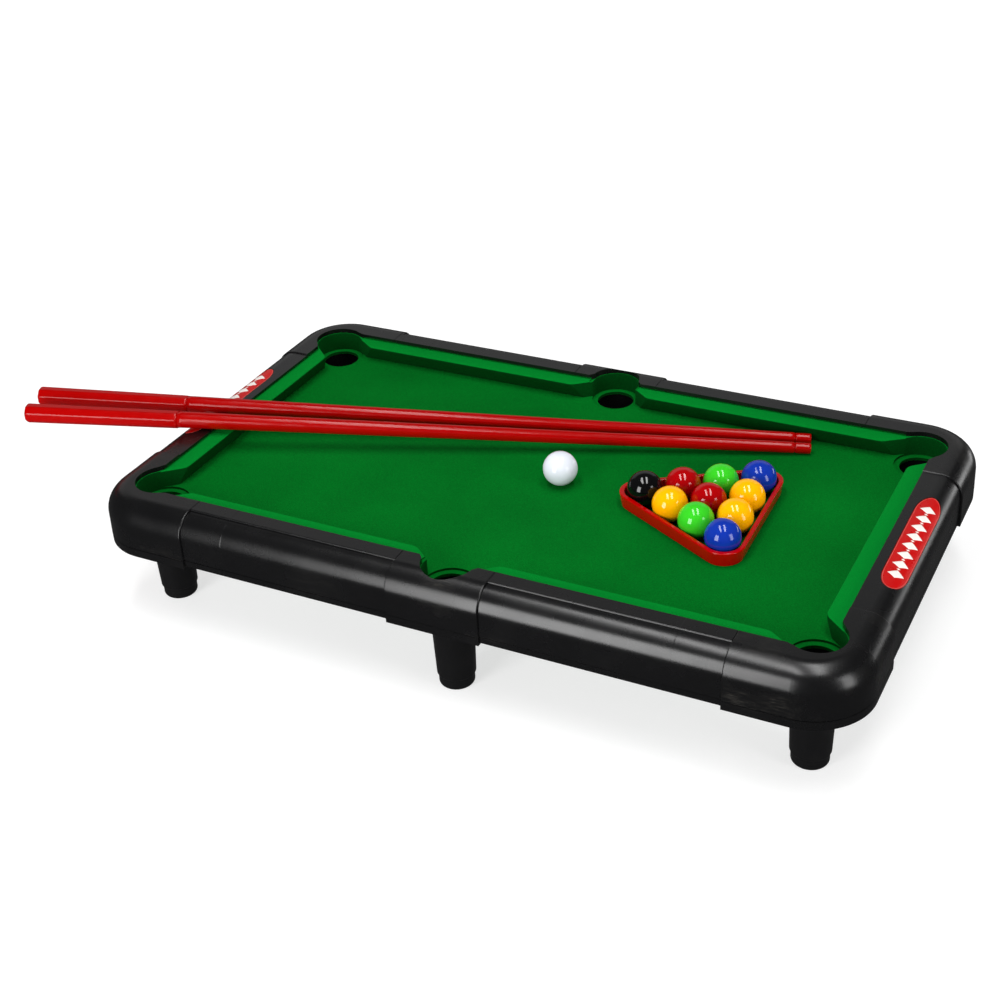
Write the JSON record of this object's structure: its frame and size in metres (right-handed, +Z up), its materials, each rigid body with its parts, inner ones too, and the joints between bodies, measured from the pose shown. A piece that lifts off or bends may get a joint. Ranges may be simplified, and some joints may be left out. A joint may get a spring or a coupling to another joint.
{
  "type": "mini pool table",
  "caption": "Tabletop pool game: black moulded frame on short legs, green flocked playfield with pockets, loose balls, triangle rack and two cues.",
  "frame": {"origin": "on the floor plane under the middle of the playing surface, midway between the feet", "axes": "+X along the table's length towards the racked balls, +Y across the table towards the far long rail, +Z up"},
  "size_m": [0.5957, 0.2914, 0.1018],
  "materials": {
    "frame_black": "satin moulded",
    "leg_black": "satin moulded",
    "badge_red": "gloss printed",
    "flock_green": "flocked",
    "screw_steel": "zinc plated",
    "rack_red": "gloss moulded",
    "cue_red": "gloss moulded",
    "ball_white": "polished",
    "ball_black": "polished",
    "ball_yellow": "polished",
    "ball_red": "polished",
    "ball_green": "polished",
    "ball_blue": "polished"
  },
  "bodies": {
    "table": {"corner_cap_front_left": "frame_black", "corner_cap_back_left": "frame_black", "corner_cap_front_right": "frame_black", "corner_cap_back_right": "frame_black", "corner_base_front_left": "frame_black", "corner_base_back_left": "frame_black", "corner_base_front_right": "frame_black", "corner_base_back_right": "frame_black", "long_rail_front_left": "frame_black", "long_rail_back_left": "frame_black", "long_rail_front_right": "frame_black", "long_rail_back_right": "frame_black", "long_base_front_left": "frame_black", "long_base_back_left": "frame_black", "long_base_front_right": "frame_black", "long_base_back_right": "frame_black", "pocket_saddle_front": "frame_black", "pocket_saddle_back": "frame_black", "saddle_base_front": "frame_black", "saddle_base_back": "frame_black", "end_rail_left": "frame_black", "end_rail_right": "frame_black", "end_base_left": "frame_black", "end_base_right": "frame_black", "badge_left": "badge_red", "badge_right": "badge_red", "playfield": "flock_green", "base_screws": "screw_steel", "leg_front_left": "leg_black", "leg_back_left": "leg_black", "leg_front_right": "leg_black", "leg_back_right": "leg_black", "leg_front_middle": "leg_black", "leg_back_middle": "leg_black", "foot_plug_front_left": "leg_black", "foot_plug_back_left": "leg_black", "foot_plug_front_right": "leg_black", "foot_plug_back_right": "leg_black", "foot_plug_front_middle": "leg_black", "foot_plug_back_middle": "leg_black"},
    "ball_black": {"ball_black": "ball_black"},
    "ball_yellow_a": {"ball_yellow_a": "ball_yellow"},
    "ball_red_a": {"ball_red_a": "ball_red"},
    "ball_green_a": {"ball_green_a": "ball_green"},
    "ball_red_b": {"ball_red_b": "ball_red"},
    "ball_green_b": {"ball_green_b": "ball_green"},
    "ball_blue_a": {"ball_blue_a": "ball_blue"},
    "ball_yellow_b": {"ball_yellow_b": "ball_yellow"},
    "ball_yellow_c": {"ball_yellow_c": "ball_yellow"},
    "ball_blue_b": {"ball_blue_b": "ball_blue"},
    "ball_cue": {"ball_cue": "ball_white"},
    "rack": {"rack": "rack_red"},
    "cue_front": {"cue_front_tip": "cue_red", "cue_front_shaft": "cue_red", "cue_front_handle": "cue_red"},
    "cue_back": {"cue_back_tip": "cue_red", "cue_back_shaft": "cue_red", "cue_back_handle": "cue_red"}
  },
  "joints": [
    {"name": "ball_black_lift", "type": "slide", "parent": "table", "child": "ball_black", "axis": [0, 0, 1], "range_m": [0, 0.1]},
    {"name": "ball_yellow_a_lift", "type": "slide", "parent": "table", "child": "ball_yellow_a", "axis": [0, 0, 1], "range_m": [0, 0.1]},
    {"name": "ball_red_a_lift", "type": "slide", "parent": "table", "child": "ball_red_a", "axis": [0, 0, 1], "range_m": [0, 0.1]},
    {"name": "ball_green_a_lift", "type": "slide", "parent": "table", "child": "ball_green_a", "axis": [0, 0, 1], "range_m": [0, 0.1]},
    {"name": "ball_red_b_lift", "type": "slide", "parent": "table", "child": "ball_red_b", "axis": [0, 0, 1], "range_m": [0, 0.1]},
    {"name": "ball_green_b_lift", "type": "slide", "parent": "table", "child": "ball_green_b", "axis": [0, 0, 1], "range_m": [0, 0.1]},
    {"name": "ball_blue_a_lift", "type": "slide", "parent": "table", "child": "ball_blue_a", "axis": [0, 0, 1], "range_m": [0, 0.1]},
    {"name": "ball_yellow_b_lift", "type": "slide", "parent": "table", "child": "ball_yellow_b", "axis": [0, 0, 1], "range_m": [0, 0.1]},
    {"name": "ball_yellow_c_lift", "type": "slide", "parent": "table", "child": "ball_yellow_c", "axis": [0, 0, 1], "range_m": [0, 0.1]},
    {"name": "ball_blue_b_lift", "type": "slide", "parent": "table", "child": "ball_blue_b", "axis": [0, 0, 1], "range_m": [0, 0.1]},
    {"name": "ball_cue_lift", "type": "slide", "parent": "table", "child": "ball_cue", "axis": [0, 0, 1], "range_m": [0, 0.1]},
    {"name": "rack_lift", "type": "slide", "parent": "table", "child": "rack", "axis": [0, 0, 1], "range_m": [0, 0.08]},
    {"name": "cue_front_stroke", "type": "slide", "parent": "table", "child": "cue_front", "axis": [-0.937, -0.347, 0.0408], "range_m": [0, 0.15]},
    {"name": "cue_back_stroke", "type": "slide", "parent": "table", "child": "cue_back", "axis": [-0.9444, -0.3262, 0.0414], "range_m": [0, 0.15]}
  ]
}
